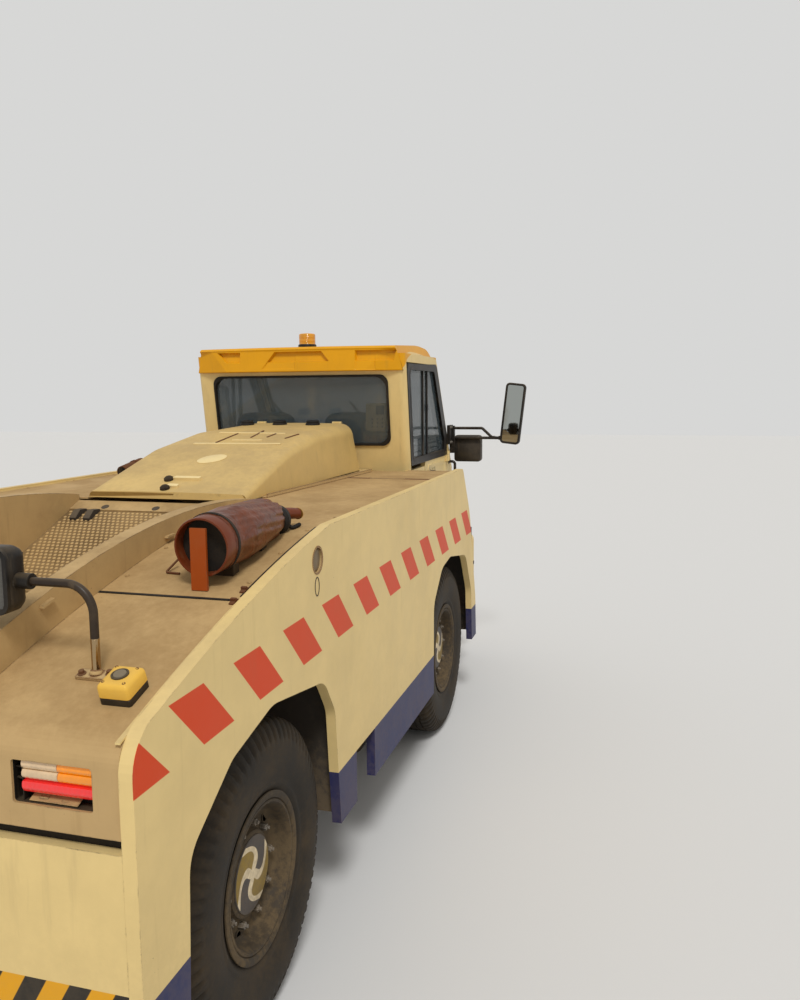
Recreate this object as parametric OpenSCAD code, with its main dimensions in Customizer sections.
// Pushback tractor: X runs forward, Y to the left, Z up, in millimetres.
// The origin lies on the ground, midway between the ends of the two couplers.

/* [Body] */
// Width over the outer faces of the two side plates
body_w = 2200; // [2000:10:2400]
// Thickness of a side plate
plate_t = 40; // [25:1:60]
// Distance from the origin back to the side plates' rear edge
rear_x = 2600; // [2560:5:2700]
// Distance from the origin forward to the bumper's front face
nose_x = 2600; // [2560:5:2700]
// Height of the side plates' top edge along the deck
deck_z = 1660; // [1620:5:1720]
// Height of the side plates' lower edge
skirt_z = 430; // [380:5:480]
// Thickness of the deck and body sheets
sheet_t = 8; // [5:1:12]
// Depth of the deck sheets under the side plates' top edge
deck_drop = 15; // [10:1:30]

/* [Wheels] */
// Outer radius of a tyre
tyre_r = 527; // [500:1:532]
// Width of a tyre
tyre_w = 280; // [240:2:300]
// Radius of the rim's bead seat, under the tyre
bead_r = 254; // [240:1:270]
// Distance between the middle planes of two wheels on one axle
track = 1810; // [1780:5:1830]
// Distance from the origin back to the rear axle
rear_axle_x = 1770; // [1750:5:1790]
// Distance from the origin forward to the front axle
front_axle_x = 955; // [940:5:970]
// Distance from a wheel's middle plane in to its kingpin
king_in = 60; // [55:1:66]
// Radius of a wheel spindle
spindle_r = 40; // [32:1:46]
// Radius of a kingpin
king_r = 24; // [18:1:28]
// Length of a steering arm, from the kingpin back to the tie rod's eye
arm_len = 150; // [140:2:160]

/* [Channel] */
// Half the clear width between the channel's walls
channel_half = 488; // [460:2:500]
// Height of the channel ribs at their highest point
rib_z = 1709; // [1700:1:1730]
// Width of a channel rib's top strip
rib_w = 62; // [45:1:80]

/* [Hood] */
// Half the width of the hood
hood_half = 430; // [400:5:450]
// Height of the hood's top at the cab
hood_z = 1985; // [1950:5:2000]
// Thickness of the hood's sheet
hood_t = 6; // [4:1:10]

/* [Cab] */
// Width of the cab over its side walls
cab_w = 1480; // [1400:10:1500]
// Thickness of a cab wall or door
wall_t = 36; // [28:1:45]
// Height of the roof's underside
roof_z = 2405; // [2360:5:2440]
// Height of the yellow roof cap
roof_h = 62; // [50:1:90]
// Height of the cab floor's top face
floor_z = 1150; // [1120:5:1180]
// Thickness of the window panes
pane_t = 6; // [4:1:8]

/* [Couplers] */
// Radius of the hole for the drop pin
pin_bore_r = 21; // [16:0.5:26]
// Reach of a coupler beyond the plate that carries it
hitch_reach = 175; // [160:1:200]
// Thickness of one coupler jaw
jaw_t = 30; // [20:1:36]
// Clear height between two jaws
jaw_gap = 80; // [60:1:100]

/* [Hidden] */
$fn = 64;

// Colours
cream = [0.86, 0.82, 0.72];
deck_grey = [0.66, 0.60, 0.50];
yellow = [0.90, 0.68, 0.08];
steel = [0.45, 0.46, 0.48];
black = [0.10, 0.10, 0.11];
rubber = [0.16, 0.16, 0.17];
glass = [0.35, 0.42, 0.45, 0.45];
red = [0.45, 0.14, 0.10];

// Seats between pieces that don't move against each other
seat_gap = 0.3;
// Radial clearance of a pin or shaft that turns in its bore
run_fit = 0.08;

body_half = body_w / 2;
inner_half = body_half - plate_t;
wheel_y = track / 2;
king_y = wheel_y - king_in;

// The deck line: level, then an arc that steepens from 8 to 17.5 degrees, then straight to the rear
deck_fall = 1338;
rear_flat = 207.27;
kink_x = -rear_x + deck_fall;
arc_a0 = 8;
arc_a1 = 17.5;
arc_end_x = -rear_x + rear_flat;
deck_arc_r = (kink_x - arc_end_x) / (sin(arc_a1) - sin(arc_a0));
arc_end_z = deck_z - deck_arc_r * (cos(arc_a0) - cos(arc_a1));
rear_corner_z = arc_end_z - (arc_end_x + rear_x) * tan(arc_a1);
rear_corner_r = 130;

// Height of the deck line at x
function deck_at(x) = x >= kink_x ? deck_z
    : x <= arc_end_x ? arc_end_z - (arc_end_x - x) * tan(arc_a1)
    : let (a = asin((kink_x - x) / deck_arc_r + sin(arc_a0)))
        deck_z - deck_arc_r * (cos(arc_a0) - cos(a));

// Points of the deck line from x0 forward to x1, lowered by drop
function deck_points(x0, x1, drop, n = 16) =
    [for (i = [0:n]) let (x = x0 + (x1 - x0) * i / n) [x, deck_at(x) - drop]];

// Points of a closed outline whose corners, rows of [x, y, radius], are rounded by arcs of n steps
function outline(c, n = 6) = [for (i = [0:len(c) - 1])
    let (
        p = [c[i][0], c[i][1]],
        before = c[(i + len(c) - 1) % len(c)],
        after = c[(i + 1) % len(c)],
        u = ([before[0], before[1]] - p) / norm([before[0], before[1]] - p),
        v = ([after[0], after[1]] - p) / norm([after[0], after[1]] - p),
        r = c[i][2]
    )
    each r <= 0 ? [p] : let (
        half = acos(u * v) / 2,
        q = p + (u + v) / norm(u + v) * r / sin(half),
        s = p + u * r / tan(half) - q,
        e = p + v * r / tan(half) - q,
        a = atan2(s.y, s.x),
        turn = (atan2(e.y, e.x) - a + 540) % 360 - 180
    )
    [for (k = [0:n]) q + r * [cos(a + turn * k / n), sin(a + turn * k / n)]]];

// A profile in X and Z, drawn out in Y from y0 to y1
module along_y(y0, y1) translate([0, y1, 0]) rotate([90, 0, 0]) linear_extrude(y1 - y0) children();

// A profile in Y and Z, drawn out in X from x0 to x1
module along_x(x0, x1) translate([x0, 0, 0]) rotate([90, 0, 90]) linear_extrude(x1 - x0) children();

// A box between two corners
module block(a, b) translate(a) cube(b - a);

// A shape and its mirror image on the left side
module both_sides() {
    children();
    mirror([0, 1, 0]) children();
}

// Hood hinge: its axis lies just ahead of the hood's front edge, and its eyes are in two places
hinge_x = 1085;
hood_pin_x = hinge_x + 18;
hood_pin_z = hood_z - 30;
hood_pin_r = 6;
hood_eye_r = 12;
hood_eye_y = [250, 290];
hood_post_t = 10;

// A cylinder along Y between y0 and y1
module rod_y(r, x, z, y0, y1) translate([x, y0, z]) rotate([-90, 0, 0]) cylinder(r = r, h = y1 - y0);

// Wheel arches, as corners of [x, z, radius]
arch_foot = 300;
rear_arch = [
    [-rear_axle_x - 626, arch_foot, 0], [-rear_axle_x - 590, 930, 110], [-rear_axle_x - 330, 1090, 150],
    [-rear_axle_x - 40, 1152, 200], [-rear_axle_x + 420, 1075, 130], [-rear_axle_x + 530, 920, 110],
    [-rear_axle_x + 592, arch_foot, 0]
];
front_arch = [
    [front_axle_x - 575, arch_foot, 0], [front_axle_x - 565, 950, 120], [front_axle_x - 350, 1122, 170],
    [front_axle_x - 130, 1148, 200], [front_axle_x + 330, 1075, 150], [front_axle_x + 520, 800, 150],
    [front_axle_x + 565, arch_foot, 0]
];

// Raked front edge of the side plates, from the deck down to the skirt
rake = [[1200, deck_z], [1424, 1344], [1633, 712], [1660, skirt_z]];
// Notch in the skirt between the wheels
notch_x = [-991, -740];
notch_z = 654;

module side_profile() difference() {
    polygon(concat(
        outline([
            [-rear_x, skirt_z, 0], [-rear_x, rear_corner_z, rear_corner_r],
            [arc_end_x, arc_end_z, 0]
        ], 8),
        deck_points(arc_end_x, kink_x, 0, 12),
        outline([
            [kink_x, deck_z, 0], [rake[0].x, rake[0].y, 60], [rake[1].x, rake[1].y, 500],
            [rake[2].x, rake[2].y, 250], [rake[3].x, rake[3].y, 0]
        ], 5)
    ));
    polygon(outline(rear_arch));
    polygon(outline(front_arch));
    translate([notch_x[0], arch_foot]) square([notch_x[1] - notch_x[0], notch_z - arch_foot]);
}

filler_ahead = 1205;
filler_x = -rear_x + filler_ahead;
filler_z = deck_z - 112;
filler_r = 50;

module side_plate() difference() {
    along_y(-body_half, -inner_half) side_profile();
    rod_y(filler_r, filler_x, filler_z, -body_half - 1, -body_half + 18);
}

module side_plate_right() color(cream) side_plate();
module side_plate_left() color(cream) mirror([0, 1, 0]) side_plate();

// Engine, one plain block on two crossmembers
engine_x = [-460, 640];
engine_half = 320;
engine_top = 1500;
module engine() color(steel)
    block(
        [engine_x[0], -engine_half, rail_z[0] + cross_h + seat_gap], [engine_x[1], engine_half, engine_top]
    );

// Chassis rails and crossmembers
rail_t = 28;
rail_y = channel_half + rail_t;
rail_z = [720, 1000];
rear_plate_t = 32;
bumper_t = 60;
rail_end = [-rear_x + rear_plate_t + seat_gap, nose_x - bumper_t - seat_gap];
cross_end = [168, 190];
cross_x = [
    rail_end[0] + cross_end[0], -rear_axle_x + 510, engine_x[0] + 40, engine_x[1] - 220, 1480,
    rail_end[1] - cross_end[1]
];
cross_w = 90;
cross_h = 70;

module frame() color(steel) {
    both_sides() block([rail_end[0], -rail_y, rail_z[0]], [rail_end[1], -rail_y + rail_t, rail_z[1]]);
    for (x = cross_x)
        block([x, -rail_y + rail_t, rail_z[0]], [x + cross_w, rail_y - rail_t, rail_z[0] + cross_h]);
}

// Sheets that close the wheel wells fore and aft, and the fender sheet behind the raked front edge
bulk_out = [605, 625];
bulk_x = [-rear_axle_x + bulk_out[0], front_axle_x - bulk_out[1]];
bulk_z = [skirt_z + 30, deck_z - deck_drop - sheet_t - seat_gap];
fender_in = 12;

module fender_line() polygon(concat(
    outline([
        [rake[0].x - 30, bulk_z[1], 0], [rake[1].x - fender_in, rake[1].y, 400],
        [rake[2].x - fender_in, rake[2].y, 250], [rake[3].x - fender_in, bulk_z[0], 0]
    ], 5),
    outline([
        [rake[3].x - fender_in - sheet_t, bulk_z[0], 0], [rake[2].x - fender_in - sheet_t, rake[2].y, 250],
        [rake[1].x - fender_in - sheet_t - 2, rake[1].y, 400], [rake[0].x - 40 - sheet_t, bulk_z[1], 0]
    ], 5)
));

module bulkheads() color(steel) both_sides() {
    for (x = bulk_x)
        block([x, -inner_half + seat_gap, bulk_z[0]], [x + sheet_t, -rail_y - seat_gap, bulk_z[1]]);
    difference() {
        along_y(-inner_half + seat_gap, -rail_y - seat_gap) fender_line();
        block([rake[0].x - 100, -cab_half - cab_gap, floor_z - floor_t - cab_gap], [nose_x, 0, deck_z]);
    }
}

// Channel behind the hood: two walls with raised ribs, and a sloped tread plate between them
rib_ahead = 1403;
rib_top_x = -rear_x + rib_ahead;
rib_arc_r = 3617;
ramp_x0 = -600;
ramp_z0 = 1625;
ramp_end_z = 778.76;
hood_rear_x = -596;
wall_end_x = -rear_x + rear_plate_t;
ramp_slope = (ramp_z0 - ramp_end_z) / (ramp_x0 - wall_end_x);
channel_wall_t = 12;

function rib_at(x) = rib_z - rib_arc_r + sqrt(rib_arc_r * rib_arc_r - (x - rib_top_x) * (x - rib_top_x));
function rib_points(x0, x1, drop, n = 18) =
    [for (i = [0:n]) let (x = x0 + (x1 - x0) * i / n) [x, rib_at(x) - drop]];
function ramp_at(x) = ramp_z0 + (x - ramp_x0) * ramp_slope;

rib_t = 10;
front_wall_x = 1180;
module channel_walls() color(cream) both_sides() {
    // Wall, standing on the chassis rail
    along_y(-channel_half - channel_wall_t, -channel_half) polygon(concat(
        [[wall_end_x, rail_z[1]]],
        rib_points(wall_end_x, hood_rear_x, rib_t),
        [[hood_rear_x, deck_z - deck_drop - sheet_t], [front_wall_x, deck_z - deck_drop - sheet_t],
            [front_wall_x, rail_z[1]]]
    ));
    // Top strip of the rib, with its outer lip turned down to the deck
    along_y(-channel_half - rib_w, -channel_half) polygon(concat(
        rib_points(wall_end_x, hood_rear_x, 0),
        rib_points(hood_rear_x, wall_end_x, rib_t)
    ));
    along_y(-channel_half - rib_w, -channel_half - rib_w + 6) polygon(concat(
        rib_points(wall_end_x, hood_rear_x, 0),
        [for (i = [0:18]) let (x = hood_rear_x + (wall_end_x - hood_rear_x) * i / 18)
            [x, min(deck_at(x) - deck_drop, rib_at(x) - 2)]]
    ));
}

louvre_ahead = 1300;
louvre_x = -rear_x + louvre_ahead;
louvre_n = 3;
louvre_pitch = 38;
louvre_w = 16;
louvre_l = 260;
louvre_y = 200;
module channel_floor() color(deck_grey) difference() {
    along_y(-channel_half + seat_gap, channel_half - seat_gap) polygon([
        [wall_end_x, ramp_at(wall_end_x)], [ramp_x0, ramp_z0], [ramp_x0 + 60, ramp_z0],
        [ramp_x0 + 60, ramp_z0 - sheet_t], [ramp_x0, ramp_z0 - sheet_t],
        [wall_end_x, ramp_at(wall_end_x) - sheet_t]
    ]);
    for (i = [0:louvre_n - 1], side = [-1, 1]) {
        x = louvre_x - i * louvre_pitch;
        translate([x, side * louvre_y - louvre_l / 2, ramp_at(x) - 30]) cube([louvre_w, louvre_l, 60]);
    }
}

// Deck plates, on top of the walls and bulkheads
deck_tail = 670;
deck_joint_x = -rear_x + deck_tail;
deck_joint_w = 8;
deck_front_x = rake[0].x - 30;
cab_rear_x = 1080;
cab_gap = 6;
module deck_plates() color(deck_grey) both_sides() difference() {
    along_y(-inner_half + seat_gap, -hood_half - 2 * cab_gap) polygon(concat(
        deck_points(deck_joint_x + deck_joint_w, kink_x, deck_drop, 8),
        [[deck_front_x, deck_z - deck_drop], [deck_front_x, deck_z - deck_drop - sheet_t]],
        deck_points(kink_x, deck_joint_x + deck_joint_w, deck_drop + sheet_t, 8)
    ));
    // Room for the rib behind the hood, and for the cab
    block([-rear_x, -channel_half - rib_w - seat_gap, floor_z], [hood_rear_x + 2, 0, deck_z + 1]);
    block([cab_rear_x - cab_gap, -cab_w / 2 - cab_gap, floor_z], [nose_x, 0, deck_z + 1]);
}

// Strip that closes the gap between the hood and the cab
module cowl_strip() color(cream) {
    block(
        [hinge_x + cab_gap, -channel_half, deck_z - deck_drop - sheet_t],
        [front_wall_x, channel_half, deck_z - deck_drop]
    );
    // Posts that hold the hood's hinge pins
    both_sides() {
        for (y = [hood_eye_y[0] - hood_post_t - 1, hood_eye_y[1] + 1]) {
            block(
                [hood_pin_x - hood_eye_r, -y - hood_post_t, deck_z - deck_drop - 1],
                [hood_pin_x + hood_eye_r, -y, hood_pin_z]
            );
            rod_y(hood_eye_r, hood_pin_x, hood_pin_z, -y - hood_post_t, -y);
        }
        rod_y(hood_pin_r, hood_pin_x, hood_pin_z, -hood_eye_y[1] - 5, -hood_eye_y[0] + 5);
    }
}

// Rear skins: they carry the deck line on, bend down, and hold the tail lamps
skin_face_x = -rear_x + 5;
skin_top_z = deck_at(skin_face_x) - deck_drop;
skin_h = 237;
skin_z = skin_top_z - skin_h;
skin_r = 75;
lamp_in_y = [308, 77];
lamp_up = [62, 174];
lamp_y = [inner_half - lamp_in_y[0], inner_half - lamp_in_y[1]];
lamp_z = [skin_z + lamp_up[0], skin_z + lamp_up[1]];

function skin_outer() = outline([
    [skin_face_x, skin_z, 0], [skin_face_x, skin_top_z, skin_r],
    [arc_end_x, arc_end_z - deck_drop, 0]
], 8);
function skin_inner() = outline([
    [arc_end_x, arc_end_z - deck_drop - sheet_t, 0],
    [skin_face_x + sheet_t, deck_at(skin_face_x + sheet_t) - deck_drop - sheet_t, skin_r - sheet_t],
    [skin_face_x + sheet_t, skin_z, 0]
], 8);

module rear_skins() color(deck_grey) both_sides() difference() {
    along_y(-inner_half + seat_gap, -channel_half - rib_w - seat_gap) polygon(concat(
        skin_outer(),
        deck_points(arc_end_x + 1, deck_joint_x, deck_drop, 6),
        deck_points(deck_joint_x, arc_end_x + 1, deck_drop + sheet_t, 6),
        skin_inner()
    ));
    along_x(skin_face_x - 20, skin_face_x + 40)
        polygon(outline([
            [-lamp_y[0], lamp_z[0], 8], [-lamp_y[0], lamp_z[1], 8],
            [-lamp_y[1], lamp_z[1], 8], [-lamp_y[1], lamp_z[0], 8]
        ], 3));
}

// Tail lamps, set back in the skins' openings: an amber and clear lens over a red one
lamp_in = 22;
lamp_rim = 7;
lens_gap = 4;
lens_split = 60;
module tail_lamps() color([0.8, 0.1, 0.08]) both_sides() {
    back = skin_face_x + sheet_t + seat_gap;
    difference() {
        block(
            [back, -lamp_y[1] - lamp_rim, lamp_z[0] - lamp_rim],
            [back + lamp_in + 30, -lamp_y[0] + lamp_rim, lamp_z[1] + lamp_rim]
        );
        block([back - 1, -lamp_y[1], lamp_z[0]], [back + lamp_in, -lamp_y[0], lamp_z[1]]);
    }
    block(
        [skin_face_x + 6, -lamp_y[1] + lens_gap, lamp_z[0] + lens_split + 2],
        [back + lamp_in, -lamp_y[0] - 50, lamp_z[1] - lens_gap - 1]
    );
    block(
        [skin_face_x + 2, -lamp_y[1] + lens_gap, lamp_z[0] + lens_gap + 1],
        [back + lamp_in, -lamp_y[0] - 34, lamp_z[0] + lens_split - 2]
    );
}

// Lower rear plate, cut down in the middle so that the driver sees the coupler
rear_plate_z = skin_z - 34;
view_z = ramp_at(wall_end_x) - sheet_t;
module rear_plate() color(cream) along_x(-rear_x, -rear_x + rear_plate_t) polygon(outline([
    [-inner_half + seat_gap, skirt_z, 0], [inner_half - seat_gap, skirt_z, 0],
    [inner_half - seat_gap, rear_plate_z, 0], [channel_half + channel_wall_t, rear_plate_z, 25],
    [channel_half - 30, view_z, 60], [-channel_half + 30, view_z, 60],
    [-channel_half - channel_wall_t, rear_plate_z, 25], [-inner_half + seat_gap, rear_plate_z, 0]
], 4));

// Couplers: two jaws on a cheek plate, drilled for the drop pin
hitch_z = 560;
hitch_half = 85;
cheek_t = 25;
cheek_half = [170, 150];
gusset_t = 22;
gusset_drop = 45;
module coupler(face_x) {
    pin_x = face_x - hitch_reach + hitch_half;
    low_jaw_z = hitch_z - jaw_gap / 2 - jaw_t;
    difference() {
        union() {
            block(
                [face_x - cheek_t, -cheek_half[0], hitch_z - cheek_half[1]],
                [face_x - seat_gap, cheek_half[0], hitch_z + cheek_half[1]]
            );
            for (z = [low_jaw_z, hitch_z + jaw_gap / 2]) {
                block([pin_x, -hitch_half, z], [face_x - cheek_t + 5, hitch_half, z + jaw_t]);
                translate([pin_x, 0, z]) cylinder(r = hitch_half, h = jaw_t);
            }
            for (y = [-hitch_half, hitch_half - gusset_t])
                along_y(y, y + gusset_t) polygon([
                    [face_x - cheek_t + 5, low_jaw_z - gusset_drop],
                    [face_x - cheek_t + 5, low_jaw_z + jaw_t / 2],
                    [pin_x + jaw_t, low_jaw_z + jaw_t / 2], [pin_x + jaw_t, low_jaw_z]
                ]);
        }
        translate([pin_x, 0, low_jaw_z - 1]) cylinder(r = pin_bore_r, h = jaw_gap + 2 * jaw_t + 2);
    }
}

module hitch_rear() color(steel) coupler(-rear_x);
module hitch_front() color(steel) mirror([1, 0, 0]) coupler(-nose_x);

// Axles
beam_h = 100;
beam_w = 90;
eye_r = 46;
beam_half = king_y - king_r - 10;
eye_h = 120;
axle_z = tyre_r;
leaf_w = 60;
spring_y = channel_half + 2;
drum_r = 190;
// Distance from the rear axle forward to its pinion flange
pinion_x = 175;
tube_r = 78;
pad_over = 7;
drum_in = [30, 150];
spindle_out = 60;

module rear_axle() color(steel) {
    rod_y(tube_r, -rear_axle_x, axle_z, -wheel_y + drum_in[1], wheel_y - drum_in[1]);
    both_sides() block(
        [-rear_axle_x - 70, -spring_y - 45, axle_z + 20],
        [-rear_axle_x + 70, -spring_y + 45, axle_z + tube_r + pad_over]
    );
    translate([-rear_axle_x, 0, axle_z]) rotate([0, 90, 0])
        rotate_extrude() polygon([
            [0, -170], [60, -190], [150, -130], [185, -40], [185, 40], [150, 110], [60, 140],
            [60, pinion_x], [0, pinion_x]
        ]);
    both_sides() {
        rod_y(drum_r, -rear_axle_x, axle_z, -wheel_y + drum_in[0], -wheel_y + drum_in[1]);
        rod_y(spindle_r, -rear_axle_x, axle_z, -wheel_y - spindle_out, -wheel_y + drum_in[0] + 1);
    }
}

module front_axle() color(steel) difference() {
    union() {
        block(
            [front_axle_x - beam_w / 2, -beam_half, axle_z - beam_h / 2],
            [front_axle_x + beam_w / 2, beam_half, axle_z + beam_h / 2]
        );
        both_sides() translate([front_axle_x, -king_y, axle_z - eye_h / 2]) cylinder(r = eye_r, h = eye_h);
    }
    both_sides() translate([front_axle_x, -king_y, axle_z - eye_h])
        cylinder(r = king_r + run_fit, h = eye_h * 2);
}

// Leaf spring packs between the axles and the rails
leaf_n = 5;
leaf_t = 13;
leaf_reach = 520;
leaf_step = 80;
hanger_h = 26;
hanger_w = 40;
saddle_half = [70, 40];
module spring_pack(x) for (i = [0:leaf_n - 1]) {
    reach = leaf_reach - i * leaf_step;
    z0 = rail_z[0] - hanger_h - (i + 1) * leaf_t;
    block([x - reach, -spring_y - leaf_w / 2, z0], [x + reach, -spring_y + leaf_w / 2, z0 + leaf_t]);
}

module leaf_springs() color(steel) both_sides() for (x = [-rear_axle_x, front_axle_x]) {
    spring_pack(x);
    for (x0 = [x - leaf_reach, x + leaf_reach - hanger_w])
        block(
            [x0, -spring_y - leaf_w / 2, rail_z[0] - hanger_h],
            [x0 + hanger_w, -spring_y + leaf_w / 2, rail_z[0] - seat_gap]
        );
    seat_z = x < 0 ? axle_z + tube_r + pad_over : axle_z + beam_h / 2;
    block(
        [x - saddle_half[0], -spring_y - saddle_half[1], seat_z + seat_gap],
        [x + saddle_half[0], -spring_y + saddle_half[1], rail_z[0] - hanger_h - leaf_n * leaf_t]
    );
}

// Steering knuckle: two ears and a kingpin, a spindle outward and an arm back to the tie rod
ear_t = 24;
ear_reach = 22;
arm_half = 22;
arm_eye_r = 30;
arm_z = axle_z - eye_h / 2 - 1 - ear_t;
ear_z = axle_z + eye_h / 2 + 1;
module knuckle() {
    translate([front_axle_x, -king_y, 0]) {
        for (z = [arm_z, ear_z]) {
            translate([0, 0, z]) cylinder(r = eye_r, h = ear_t);
            block([-eye_r, -eye_r - ear_reach, z], [eye_r, 0, z + ear_t]);
        }
        translate([0, 0, arm_z + 1]) cylinder(r = king_r, h = ear_z - arm_z + ear_t - 2);
        block([-eye_r, -eye_r - ear_reach, arm_z], [eye_r, -eye_r - 2, ear_z + ear_t]);
        block([-arm_len, -arm_half, arm_z], [0, arm_half, arm_z + ear_t]);
        translate([-arm_len, 0, arm_z]) cylinder(r = arm_eye_r, h = ear_t);
    }
    rod_y(spindle_r, front_axle_x, axle_z, -wheel_y - spindle_out, -king_y - eye_r - ear_reach / 2);
}

module knuckle_right() color(steel) knuckle();
module knuckle_left() color(steel) mirror([0, 1, 0]) knuckle();

rod_r = 15;
rod_eye_r = 27;
module tie_rod() color(steel) {
    z = arm_z - seat_gap;
    both_sides() translate([front_axle_x - arm_len, -king_y, z - 2 * rod_r])
        cylinder(r = rod_eye_r, h = 2 * rod_r);
    rod_y(rod_r, front_axle_x - arm_len, z - rod_r, -king_y, king_y);
}

// Wheel, as profiles of [radius, distance outward from the middle plane]
module tyre_shape(x, side) translate([x, side * wheel_y, axle_z]) rotate([-90, 0, 0])
    rotate_extrude($fn = 96) polygon(outline([
        [bead_r, -tyre_w / 2 + 30, 0], [bead_r + 45, -tyre_w / 2 + 6, 30],
        [bead_r + 150, -tyre_w / 2 - 2, 60], [tyre_r - 62, -tyre_w / 2, 20], [tyre_r - 8, -tyre_w / 2 + 32, 22],
        [tyre_r, 0, 0],
        [tyre_r - 8, tyre_w / 2 - 32, 22], [tyre_r - 62, tyre_w / 2, 20], [bead_r + 150, tyre_w / 2 + 2, 60],
        [bead_r + 45, tyre_w / 2 - 6, 30], [bead_r, tyre_w / 2 - 30, 0]
    ], 4));

// The disc is dished: it stands disc_out outward from the wheel's middle plane
disc_out = 46;
rim_half = tyre_w / 2 - 30;
module rim_shape(x, side) translate([x, side * wheel_y, axle_z]) rotate([side * -90, 0, 0])
    rotate_extrude($fn = 96) polygon([
        [bead_r - 14, -rim_half - 2], [bead_r - seat_gap, -rim_half - 2], [bead_r - seat_gap, rim_half + 2],
        [bead_r - 14, rim_half + 14], [bead_r - 26, rim_half + 14], [bead_r - 40, disc_out + 30],
        [bead_r - 48, disc_out + 12], [150, disc_out + 8], [132, disc_out + 34], [92, disc_out + 34],
        [84, disc_out + 20], [spindle_r + run_fit, disc_out + 20], [spindle_r + run_fit, disc_out - 14],
        [100, disc_out - 14], [118, disc_out + 2], [150, disc_out - 6], [bead_r - 46, disc_out - 4],
        [bead_r - 26, disc_out + 10]
    ]);

module tyre_front_right() color(rubber) tyre_shape(front_axle_x, -1);
module tyre_front_left() color(rubber) tyre_shape(front_axle_x, 1);
module tyre_rear_right() color(rubber) tyre_shape(-rear_axle_x, -1);
module tyre_rear_left() color(rubber) tyre_shape(-rear_axle_x, 1);
module rim_front_right() color(cream) rim_shape(front_axle_x, -1);
module rim_front_left() color(cream) rim_shape(front_axle_x, 1);
module rim_rear_right() color(cream) rim_shape(-rear_axle_x, -1);
module rim_rear_left() color(cream) rim_shape(-rear_axle_x, 1);

// Gearbox and propeller shaft
gearbox_x = -1000;
gearbox_half = 190;
gearbox_z = [600, 1080];
shaft_z = 700;
shaft_r = 42;
// The shaft climbs from a yoke on the axle's pinion to the gearbox's output housing
shaft_from = [-rear_axle_x + pinion_x + 30, axle_z];
shaft_run = [gearbox_x - 50, shaft_z] - shaft_from;
module driveline() color(steel) {
    block([gearbox_x, -gearbox_half, gearbox_z[0]], [engine_x[0] - seat_gap, gearbox_half, gearbox_z[1]]);
    translate([gearbox_x - 60, 0, shaft_z]) rotate([0, 90, 0]) cylinder(r = 90, h = 61);
    translate([-rear_axle_x + pinion_x + seat_gap, 0, axle_z]) rotate([0, 90, 0]) cylinder(r = 52, h = 50);
    translate([shaft_from.x, 0, shaft_from.y]) rotate([0, atan2(shaft_run.x, shaft_run.y), 0])
        cylinder(r = shaft_r, h = norm(shaft_run));
}

// Fuel tank between the wheels, hung on the right side plate and the rail
tank_x = [-690, 260];
tank_z = [500, 760, 1040];
tank_in = 30;
tank_foot = 100;
tank_r = 60;
module fuel_tank() color(black) along_x(tank_x[0], tank_x[1]) polygon(outline([
    [-inner_half + tank_in, tank_z[0], tank_r], [-inner_half + tank_in, tank_z[2], tank_r],
    [-rail_y - seat_gap, tank_z[2], 0], [-rail_y - seat_gap, tank_z[1], 0],
    [-rail_y - tank_foot, tank_z[0], tank_r]
], 4));

// Hood: a lid hinged at the cab, as corners of [x, z, radius] along its top
hood_line = [[-40, hood_z - 135, 500], [420, hood_z - 35, 500], [800, hood_z, 300]];
hood_lip = 18;
hood_foot = deck_z - deck_drop + 2;
module hood_side(inset) polygon(concat(
    [[hood_rear_x + inset, hood_foot - inset * 3]],
    outline(concat(
        [[hood_rear_x + inset, deck_z + hood_lip - inset, 0]],
        [for (p = hood_line) [p.x, p.y - inset, p[2]]],
        [[hinge_x - inset, hood_z - inset, 0], [hinge_x - inset, hood_foot - inset * 3, 0]]
    ), 5)
));

module hood() color(cream) {
    difference() {
        along_y(-hood_half, hood_half) hood_side(0);
        along_y(-hood_half + hood_t, hood_half - hood_t) hood_side(hood_t);
    }
    // Hinge eyes
    both_sides() difference() {
        union() {
            rod_y(hood_eye_r, hood_pin_x, hood_pin_z, -hood_eye_y[1], -hood_eye_y[0]);
            block(
                [hinge_x - 3, -hood_eye_y[1], hood_pin_z - hood_eye_r], [hood_pin_x, -hood_eye_y[0], hood_pin_z]
            );
        }
        rod_y(hood_pin_r + run_fit, hood_pin_x, hood_pin_z, -hood_eye_y[1] - 1, -hood_eye_y[0] + 1);
    }
}

// Cab: the side outline, as corners of [x, z], leans forward at the back and rakes back at the front
cab_base_z = deck_z - deck_drop;
rear_base_x = 1195;
rear_lean = (rear_base_x - cab_rear_x) / (roof_z - cab_base_z);
rear_lean_a = atan(rear_lean);
screen_in = [114, 655];
screen_foot = [nose_x - screen_in[0], 1555];
screen_top_x = nose_x - screen_in[1];
screen_lean = (screen_foot.x - screen_top_x) / (roof_z - screen_foot.y);
function cab_back(z) = rear_base_x - (z - cab_base_z) * rear_lean;
function cab_front_x(z) = screen_foot.x - max(0, z - screen_foot.y) * screen_lean;
cab_half = cab_w / 2;
cowl_z = 1020;

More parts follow.
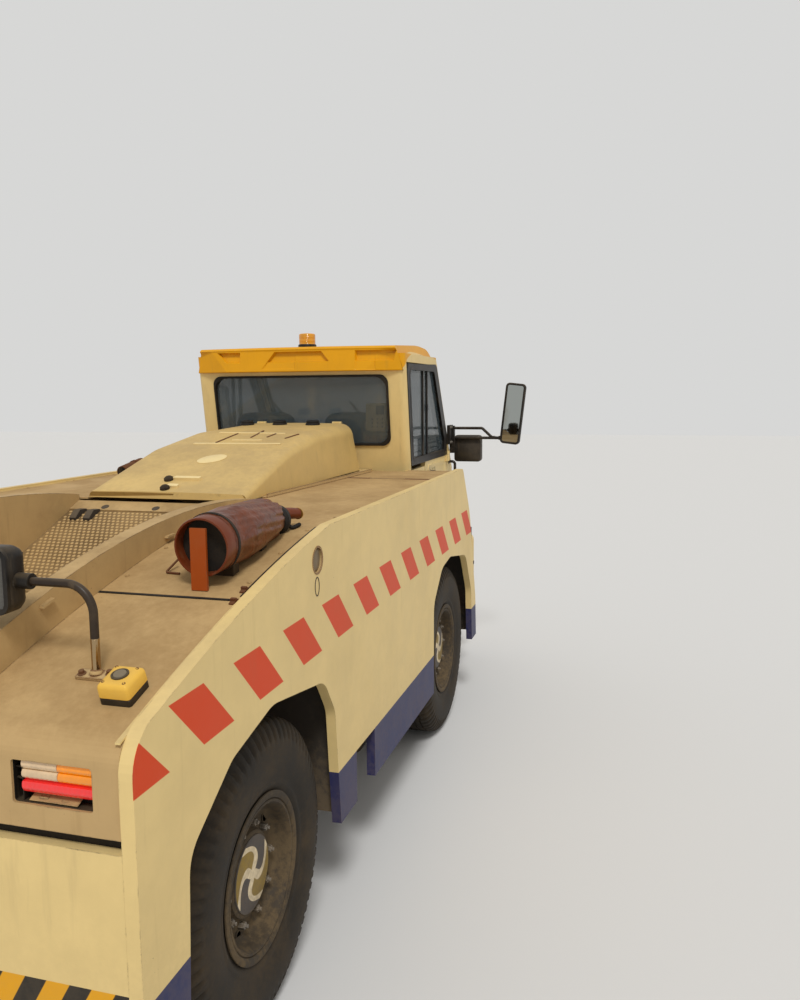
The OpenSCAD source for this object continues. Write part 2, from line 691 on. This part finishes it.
// Floor pan with its four legs, and the low walls behind the doors
floor_t = 30;
leg_w = 90;
leg_in = [105, 186];
leg_x = [rear_base_x + leg_in[0], screen_foot.x - leg_in[1]];
tub_gap = 10;
door_low_x = 1615;
module cab_tub() color(cream) {
    block([rear_base_x, -cab_half, floor_z - floor_t], [screen_foot.x - wall_t, cab_half, floor_z]);
    both_sides() block(
        [rear_base_x, -cab_half, floor_z], [door_low_x - 15, -cab_half + wall_t, cab_base_z - tub_gap]
    );
    both_sides() for (x = leg_x)
        block([x, -rail_y, rail_z[1] + seat_gap], [x + leg_w, -rail_y + leg_w, floor_z - floor_t + 1]);
    block(
        [rear_base_x, -cab_half + wall_t, floor_z],
        [rear_base_x + wall_t, cab_half - wall_t, cab_base_z - tub_gap]
    );
}

// Front wall, cowl, windscreen frame and front pillars
pillar_w = 66;
pillar_d = 46;
pillar_reach = pillar_d / cos(rear_lean_a) + seat_gap;
door_in = 300;
door_front_x = nose_x - door_in;
// Top edge of the doors, under the cab's side headers
door_top_z = roof_z - 55;
well_deep = 500;
pillar_kink_z = 1770;
door_gap = 6;
door_pin_x = door_front_x - door_gap / 2;
door_pin_y = cab_half + 12;
door_pin_r = 5;
door_eye_r = 11;
door_eye_h = 50;
door_hinge_z = [floor_z + 70, floor_z + 470];
leaf_len = 48;
leaf_out = 4;
upper_eye_h = 26;

// Half of a door hinge: a barrel and its leaf, which runs forward or back from the pin's axis
module hinge_half(z, h, way) {
    translate([door_pin_x, -door_pin_y, z]) cylinder(r = door_eye_r, h = h);
    block(
        [door_pin_x - (way < 0 ? leaf_len : 0), -door_pin_y - leaf_out, z],
        [door_pin_x + (way > 0 ? leaf_len : 0), -cab_half, z + h]
    );
}
module cab_front() color(cream) {
    cab_front_shell();
    both_sides() for (z = door_hinge_z) {
        hinge_half(z + door_eye_h + 0.5, upper_eye_h, 1);
        translate([door_pin_x, -door_pin_y, z - 2]) cylinder(r = door_pin_r, h = door_eye_h + 10);
    }
}
screen_z = [screen_foot.y + 75, roof_z - 75];
screen_side = 70;
head_t = 40;

// Its side outline runs from the cowl up the front pillar and back along the header to the rear pillar
module cab_front_shell() difference() {
    along_y(-cab_half, cab_half) polygon([
        [screen_foot.x, cowl_z], [screen_foot.x, screen_foot.y], [cab_front_x(roof_z), roof_z],
        [cab_back(roof_z) + pillar_reach, roof_z], [cab_back(door_top_z) + pillar_reach, door_top_z],
        [cab_front_x(door_top_z) - pillar_w, door_top_z], [door_front_x, pillar_kink_z],
        [door_front_x, floor_z], [screen_foot.x - wall_t, floor_z], [screen_foot.x - wall_t, cowl_z]
    ]);
    // Inside, behind the cowl and the windscreen's top rail
    along_y(-cab_half + wall_t, cab_half - wall_t) polygon([
        [screen_foot.x - wall_t, floor_z], [screen_foot.x - wall_t, screen_foot.y - 10],
        [cab_front_x(roof_z - head_t) - wall_t, roof_z - head_t],
        [cab_front_x(roof_z - head_t) - 2 * wall_t, roof_z - head_t],
        [cab_front_x(roof_z) - 2 * wall_t, roof_z + 1], [rear_base_x - well_deep, roof_z + 1],
        [rear_base_x - well_deep, floor_z]
    ]);
    // Windscreen opening
    along_y(-cab_half + screen_side, cab_half - screen_side)
        polygon([for (p = [[60, 0], [60, 1], [-120, 1], [-120, 0]])
            [cab_front_x(screen_z[p.y]) + p.x, screen_z[p.y]]]);
}

// Rear wall with its window, leaning forward at the foot, and rounded into the rear pillars
win_y = cab_half - 120;
win_z = [1810, 2268];
win_r = 50;
pillar_r = 42;
module window_outline(g) polygon(outline([
    [-win_y + g, win_z[0] + g, win_r], [-win_y + g, win_z[1] - g, win_r],
    [win_y - g, win_z[1] - g, win_r], [win_y - g, win_z[0] + g, win_r]
], 4));
module cab_rear() color(cream) difference() {
    translate([rear_base_x, 0, cab_base_z]) rotate([0, -rear_lean_a, 0]) translate([0, 0, -60])
        linear_extrude(roof_z - cab_base_z + 120) polygon(concat(
            outline([
                [pillar_d, -cab_half, 0], [0, -cab_half, pillar_r], [0, cab_half, pillar_r],
                [pillar_d, cab_half, 0]
            ], 5),
            outline([
                [pillar_d, cab_half - wall_t, 0], [wall_t, cab_half - wall_t, pillar_r - wall_t],
                [wall_t, -cab_half + wall_t, pillar_r - wall_t], [pillar_d, -cab_half + wall_t, 0]
            ], 2)
        ));
    // Cut level under the roof, and at the foot above the low wall
    block(
        [rear_base_x - well_deep, -cab_half - 1, roof_z],
        [rear_base_x + well_deep, cab_half + 1, roof_z + well_deep]
    );
    block(
        [rear_base_x - well_deep, -cab_half - 1, cab_base_z - well_deep],
        [rear_base_x + well_deep, cab_half + 1, cab_base_z - tub_gap + seat_gap]
    );
    along_x(cab_rear_x - well_deep, rear_base_x + well_deep) window_outline(0);
}

// Roof cap: a rounded lip over the windscreen, and three shallow pockets in the rear fascia, each a row of
// [low Y, high Y] at its foot and then at its top
roof_over = 40;
fascia_h = 110;
fascia_z = roof_z - fascia_h;
roof_side = 8;
pocket_y = [
    [-cab_half + 47, -420, -cab_half + 40, -420], [-236, 196, -185, 141],
    [395, cab_half - 246, 395, cab_half - 166]
];
pocket_d = 16;
pocket_up = [75, 133];
roof_lip = [45, 20];
roof_nose_r = 90;
module cab_roof() color(yellow) difference() {
    along_y(-cab_half - roof_side, cab_half + roof_side) polygon(outline([
        [cab_back(roof_z) - roof_over, fascia_z, 6], [cab_back(roof_z) - roof_over + 12, roof_z + roof_h, 18],
        [cab_front_x(roof_z) - 25, roof_z + roof_h, roof_nose_r],
        [cab_front_x(roof_z) + roof_lip[0], roof_z - roof_lip[1], 8],
        [cab_front_x(roof_z - roof_lip[1]) + 1, roof_z - roof_lip[1], 0],
        [cab_front_x(roof_z) + 1, roof_z + seat_gap, 0], [cab_back(roof_z) - seat_gap, roof_z + seat_gap, 0],
        [cab_back(fascia_z) - seat_gap, fascia_z, 0]
    ], 5));
    for (y = pocket_y)
        along_x(cab_back(roof_z) - 2 * roof_over, cab_back(roof_z) - roof_over + pocket_d) polygon([
            [y[0], fascia_z + pocket_up[0]], [y[1], fascia_z + pocket_up[0]],
            [y[3], fascia_z + pocket_up[1]], [y[2], fascia_z + pocket_up[1]]
        ]);
}

// Windscreen and rear window panes
pane_in = 12;
module cab_glass() color(glass) {
    along_y(-cab_half + screen_side + seat_gap, cab_half - screen_side - seat_gap)
        polygon([for (p = [[0, 0], [0, 1], [pane_t, 1], [pane_t, 0]])
            let (z = screen_z[p.y] + (p.y > 0 ? -1 : 1)) [cab_front_x(z) - pane_in - p.x, z]]);
    intersection() {
        along_y(-win_y, win_y)
            polygon([for (p = [[0, 0], [0, 1], [pane_t, 1], [pane_t, 0]])
                [cab_back(win_z[p.y]) + pane_in + p.x, win_z[p.y]]]);
        along_x(cab_rear_x - well_deep, rear_base_x + well_deep) window_outline(seat_gap);
    }
}

// Doors: glazed above the deck line, and solid below it ahead of the side plates
sill_z = deck_z + 30;
frame_w = [42, 50, 85];
glass_z = [sill_z + 70, door_top_z - 40];
module door_outline(g) polygon([
    [cab_back(sill_z) + pillar_d + g, sill_z + g], [cab_back(door_top_z) + pillar_d + g, door_top_z - g],
    [cab_front_x(door_top_z) - pillar_w - g, door_top_z - g], [door_front_x - g, pillar_kink_z],
    [door_front_x - g, floor_z + g], [door_low_x + g, floor_z + g], [door_low_x + g, sill_z + g]
]);
module door_window(g) polygon([
    [cab_back(glass_z[0]) + pillar_d + frame_w[0] + g, glass_z[0] + g],
    [cab_back(glass_z[1]) + pillar_d + frame_w[0] + g, glass_z[1] - g],
    [cab_front_x(glass_z[1]) - pillar_w - frame_w[1] - g, glass_z[1] - g],
    [door_front_x - frame_w[2] - g, glass_z[0] + 30], [door_front_x - frame_w[2] - g, glass_z[0] + g]
]);
module door() {
    difference() {
        along_y(-cab_half, -cab_half + wall_t) door_outline(door_gap);
        along_y(-cab_half - 1, -cab_half + wall_t + 1) door_window(0);
    }
    // Hinge barrels at the front edge
    for (z = door_hinge_z) difference() {
        hinge_half(z, door_eye_h, -1);
        translate([door_pin_x, -door_pin_y, z - 1]) cylinder(r = door_pin_r + run_fit, h = door_eye_h + 2);
    }
}
module door_glass() along_y(-cab_half + pane_in, -cab_half + pane_in + pane_t) door_window(seat_gap);

module door_right() color(black) door();
module door_left() color(black) mirror([0, 1, 0]) door();
module door_glass_right() color(glass) door_glass();
module door_glass_left() color(glass) mirror([0, 1, 0]) door_glass();

// Driver's and second seat
seat_x = rear_base_x + 105;
seat_y = 330;
seat_half = 240;
seat_box = [30, 400, 150, 300];
cushion = [480, 110];
back_h = 460;
back_t = 68;
module seats() color(black) for (y = [-seat_y, seat_y]) translate([seat_x, y, floor_z]) {
    block([seat_box[0], -seat_box[2], seat_gap], [seat_box[1], seat_box[2], seat_box[3]]);
    block([0, -seat_half, seat_box[3]], [cushion[0], seat_half, seat_box[3] + cushion[1]]);
    along_y(-seat_half + 10, seat_half - 10) polygon(outline([
        [0, seat_box[3] + cushion[1] - 10, 0], [-back_t / 2 - 4, seat_box[3] + cushion[1] + back_h, 30],
        [back_t / 2 - 4, seat_box[3] + cushion[1] + back_h + 10, 40],
        [back_t + 52, seat_box[3] + cushion[1], 0]
    ], 4));
}

// Dashboard with the steering column and wheel
dash_in = [120, 30];
dash_up = [280, 410];
dash_x = [door_front_x - dash_in[0], door_front_x + dash_in[1]];
dash_z = [floor_z + dash_up[0], floor_z + dash_up[1]];
pedestal_d = 90;
pedestal_half = 120;
column_r = 30;
column_h = 205;
column_lean = 35;
wheel_r = 205;
wheel_rim_r = 15;
spoke_r = 9;
module dash() color(black) {
    block(
        [dash_x[0], -cab_half + wall_t + 20, dash_z[0]], [dash_x[1], cab_half - wall_t - 20, dash_z[1]]
    );
    block(
        [dash_x[1] - pedestal_d, -pedestal_half, floor_z + seat_gap], [dash_x[1], pedestal_half, dash_z[0] + 10]
    );
    translate([dash_x[0] + 10, seat_y, dash_z[1] - 40]) rotate([0, -column_lean, 0]) {
        cylinder(r = column_r, h = column_h + 17);
        translate([0, 0, column_h]) rotate_extrude() translate([wheel_r, 0])
            circle(r = wheel_rim_r, $fn = 32);
        for (a = [90, 210, 330])
            rotate([0, 90, a]) translate([-column_h, 0, 0]) cylinder(r = spoke_r, h = wheel_r);
    }
}

// Bumper: a thick plate across the nose, with the nose box behind it
nose_half = body_half - 200;
nose_in = 40;
nose_back_x = nose_x - 360;
nose_low_z = 560;
bumper_z = [400, 1010];
module bumper() color(cream) {
    along_x(nose_x - bumper_t, nose_x) polygon(outline([
        [-nose_half, bumper_z[0], 40], [nose_half, bumper_z[0], 40], [nose_half, bumper_z[1], 60],
        [-nose_half, bumper_z[1], 60]
    ], 5));
    both_sides() {
        block(
            [nose_back_x, -nose_half + nose_in, nose_low_z],
            [nose_x - bumper_t, -nose_half + nose_in + sheet_t, bumper_z[1]]
        );
        block(
            [nose_back_x, -nose_half + nose_in, bumper_z[1] - sheet_t],
            [nose_x - bumper_t, -rail_y - seat_gap, bumper_z[1]]
        );
    }
}

// Steps below the doors
step_x = [door_low_x + 85, door_front_x - 100];
step_z = [520, 830];
step_t = 24;
step_out = body_half - 120;
step_side_t = 10;
module steps() color(steel) both_sides() {
    for (z = step_z)
        block([step_x[0], -step_out, z], [step_x[1], -rail_y - seat_gap, z + step_t]);
    for (x = [step_x[0], step_x[1] - step_side_t]) block(
        [x, -step_out + 20, step_z[0]], [x + step_side_t, -rail_y - seat_gap, floor_z - floor_t - seat_gap]
    );
}

// Headlamps on the cowl
lamp_r = 92;
lamp_d = 45;
head_y = cab_half - 180;
head_z = floor_z + 100;
marker_y = [cab_half - 75, cab_half - 25];
marker_half = 50;
marker_d = 35;
module headlamps() color([0.9, 0.9, 0.88]) both_sides() {
    translate([screen_foot.x + seat_gap, -head_y, head_z]) rotate([0, 90, 0])
        cylinder(r = lamp_r, h = lamp_d);
    block(
        [screen_foot.x + seat_gap, -marker_y[1], head_z - marker_half],
        [screen_foot.x + marker_d, -marker_y[0], head_z + marker_half]
    );
}

// Mirrors: a tall head, leaning out, on an arm of two bars from each front pillar, and a square lamp under it
mirror_in = 190;
mirror_x = nose_x - mirror_in;
mirror_head = [60, 155, 470];
mirror_out = 400;
mirror_low_z = 1760;
mirror_r = 32;
mirror_tilt = 6.5;
bar_r = 11;
bar_z = 1785;
bar_rise = 87;
bar_bend = [261, 339];
bar_knuckle = 30;
bar_foot = [24, 150];
foot_ahead = 8;
side_lamp = [85, 215, 210];
side_lamp_ahead = 18;
side_lamp_out = 30;
side_lamp_z = 1605;
side_lamp_r = 25;
module mirrors() color(black) both_sides() {
    translate([mirror_x - mirror_head[0] / 2, -cab_half - mirror_out, mirror_low_z])
        rotate([mirror_tilt, 0, 0]) along_x(0, mirror_head[0]) polygon(outline([
            [0, 0, mirror_r], [-mirror_head[1], 0, mirror_r], [-mirror_head[1], mirror_head[2], mirror_r],
            [0, mirror_head[2], mirror_r]
        ], 4));
    // The lower bar is straight, and the upper one bends down to it
    rod_y(bar_r, mirror_x, bar_z + bar_r, -cab_half - mirror_out - 20, -cab_half - bar_foot[0] + 4);
    rod_y(bar_r, mirror_x, bar_z + bar_rise, -cab_half - bar_bend[0], -cab_half - bar_foot[0] + 4);
    translate([mirror_x, -cab_half - bar_bend[0], bar_z + bar_rise]) {
        fall = [bar_bend[1] - bar_bend[0], bar_rise - bar_r];
        for (p = [[0, 0], -fall])
            translate([0, p.x, p.y]) cube(bar_knuckle, center = true);
        rotate([180 - atan2(fall.x, fall.y), 0, 0]) cylinder(r = bar_r - 1, h = norm(fall));
    }
    block(
        [door_front_x + foot_ahead, -cab_half - bar_foot[0], bar_z - bar_foot[1] / 4],
        [mirror_x + bar_r + 5, -cab_half - seat_gap, bar_z + bar_foot[1] * 3 / 4]
    );
    // The lamp, on a plate that stands out from the pillar
    along_x(mirror_x + side_lamp_ahead, mirror_x + side_lamp_ahead + side_lamp[0]) polygon(outline([
        [-cab_half - side_lamp_out, side_lamp_z, side_lamp_r],
        [-cab_half - side_lamp_out - side_lamp[1], side_lamp_z, side_lamp_r],
        [-cab_half - side_lamp_out - side_lamp[1], side_lamp_z + side_lamp[2], side_lamp_r],
        [-cab_half - side_lamp_out, side_lamp_z + side_lamp[2], side_lamp_r]
    ], 4));
    block(
        [mirror_x - bar_r - 3, -cab_half - side_lamp_out - 15, side_lamp_z + side_lamp[2] / 3],
        [mirror_x + side_lamp_ahead + 10, -cab_half - seat_gap, bar_z + 4]
    );
}

// Amber beacon on a low base
beacon_x = cab_rear_x + 200;
beacon_base = [62, 18];
beacon_lens = [56, 72];
module beacon() color([0.95, 0.6, 0.1]) translate([beacon_x, 0, roof_z + roof_h + seat_gap]) {
    cylinder(r = beacon_base[0], h = beacon_base[1]);
    translate([0, 0, beacon_base[1]]) cylinder(r = beacon_lens[0], h = beacon_lens[1]);
}

// Handrail across the rear of the deck
rail_x = -rear_x + 246;
rail_post_y = inner_half - 222;
rail_bend = 80;
rail_h = 250;
rail_r = 15;
rail_foot_half = 34;
rail_foot_t = 12;
rail_foot_z = deck_at(rail_x) - deck_drop + 2 * seat_gap;
module handrail() color(black) {
    both_sides() translate([rail_x, -rail_post_y, rail_foot_z]) {
        rotate([0, -arc_a1, 0]) translate([-rail_foot_half, -rail_foot_half, 0])
            cube([2 * rail_foot_half, 2 * rail_foot_half, rail_foot_t]);
        translate([0, 0, rail_foot_t / 2]) cylinder(r = rail_r, h = rail_h - rail_bend - rail_foot_t / 2);
        translate([0, rail_bend, rail_h - rail_bend]) rotate([90, 0, 90])
            rotate_extrude(angle = 90, start = 90) translate([rail_bend, 0]) circle(r = rail_r);
    }
    rod_y(rail_r, rail_x, rail_foot_z + rail_h, -rail_post_y + rail_bend, rail_post_y - rail_bend);
}

// Work lamp, clamped on the handrail
work_y = rail_post_y - 278;
work_half = [45, 80];
work_z = [-90, 95];
module work_lamp() color(black) translate([rail_x, -work_y, rail_foot_z + rail_h]) difference() {
    block([-work_half[0], -work_half[1], work_z[0]], [work_half[0], work_half[1], work_z[1]]);
    rod_y(rail_r + seat_gap, 0, 0, -work_half[1] - 1, work_half[1] + 1);
}

// Stop box on the rear of the right deck
stop_x = -rear_x + 185;
stop_y = -inner_half + 103;
stop_half = [47, 82];
stop_h = 66;
stop_button = [26, 18];
module stop_box() color(yellow) {
    translate([stop_x, stop_y, deck_at(stop_x) - deck_drop + 2 * seat_gap]) rotate([0, -arc_a1, 0]) {
        translate([-stop_half[0], -stop_half[1], 0]) cube([2 * stop_half[0], 2 * stop_half[1], stop_h]);
        translate([0, -stop_half[1] / 4, stop_h]) cylinder(r = stop_button[0], h = stop_button[1]);
    }
}

// Fire extinguisher, lying along the right deck between a bar and a cradle
bottle_r = 86;
bottle_y = -inner_half + 172;
bottle_len = 495;
bottle_near = [-rear_x + 730, deck_z + 20];
bottle_tilt = 4.2;
bottle_rim = [8, 45];
shoulder = [25, 40];
neck = [24, 110];
function bottle_z(x) = bottle_near.y + (x - bottle_near.x) * tan(bottle_tilt);
module extinguisher() color(red)
    translate([bottle_near.x, bottle_y, bottle_near.y]) rotate([0, 90 - bottle_tilt, 0])
        rotate_extrude() polygon([
            [0, bottle_rim[1]], [bottle_r - bottle_rim[0], bottle_rim[1]], [bottle_r - bottle_rim[0], 0],
            [bottle_r, 0], [bottle_r, bottle_len - shoulder[1]], [bottle_r - shoulder[0], bottle_len],
            [neck[0] + 8, bottle_len + 28], [neck[0], bottle_len + shoulder[1]],
            [neck[0], bottle_len + shoulder[1] + neck[1]], [0, bottle_len + shoulder[1] + neck[1]]
        ]);

cradle_x = [bottle_near.x + 110, bottle_near.x + 330];
cradle_w = 40;
cradle_half = 60;
bar_w = 10;
bar_half = 28;
bar_h = 200;
module bottle_bracket() color([0.8, 0.35, 0.1]) {
    bar_x = bottle_near.x - bar_w - seat_gap;
    foot_z = deck_at(bar_x + bar_w) - deck_drop + seat_gap;
    block([bar_x, bottle_y - bar_half, foot_z], [bar_x + bar_w, bottle_y + bar_half, foot_z + bar_h]);
    for (x = cradle_x) difference() {
        along_y(bottle_y - cradle_half, bottle_y + cradle_half) polygon([
            [x, deck_at(x) - deck_drop + seat_gap], [x + cradle_w, deck_at(x + cradle_w) - deck_drop + seat_gap],
            [x + cradle_w, bottle_z(x) - bottle_r + 40], [x, bottle_z(x) - bottle_r + 40]
        ]);
        translate([bottle_near.x, bottle_y, bottle_near.y]) rotate([0, 90 - bottle_tilt, 0])
            cylinder(r = bottle_r + seat_gap, h = bottle_len);
    }
}

frame();
bulkheads();
rear_axle();
front_axle();
leaf_springs();
knuckle_right();
knuckle_left();
tie_rod();
tyre_front_right();
tyre_front_left();
tyre_rear_right();
tyre_rear_left();
rim_front_right();
rim_front_left();
rim_rear_right();
rim_rear_left();
engine();
driveline();
fuel_tank();
side_plate_right();
side_plate_left();
channel_walls();
channel_floor();
deck_plates();
cowl_strip();
rear_skins();
rear_plate();
tail_lamps();
hitch_rear();
hitch_front();
hood();
cab_tub();
cab_front();
cab_rear();
cab_roof();
cab_glass();
door_right();
door_left();
door_glass_right();
door_glass_left();
seats();
dash();
bumper();
steps();
headlamps();
mirrors();
beacon();
handrail();
work_lamp();
stop_box();
extinguisher();
bottle_bracket();
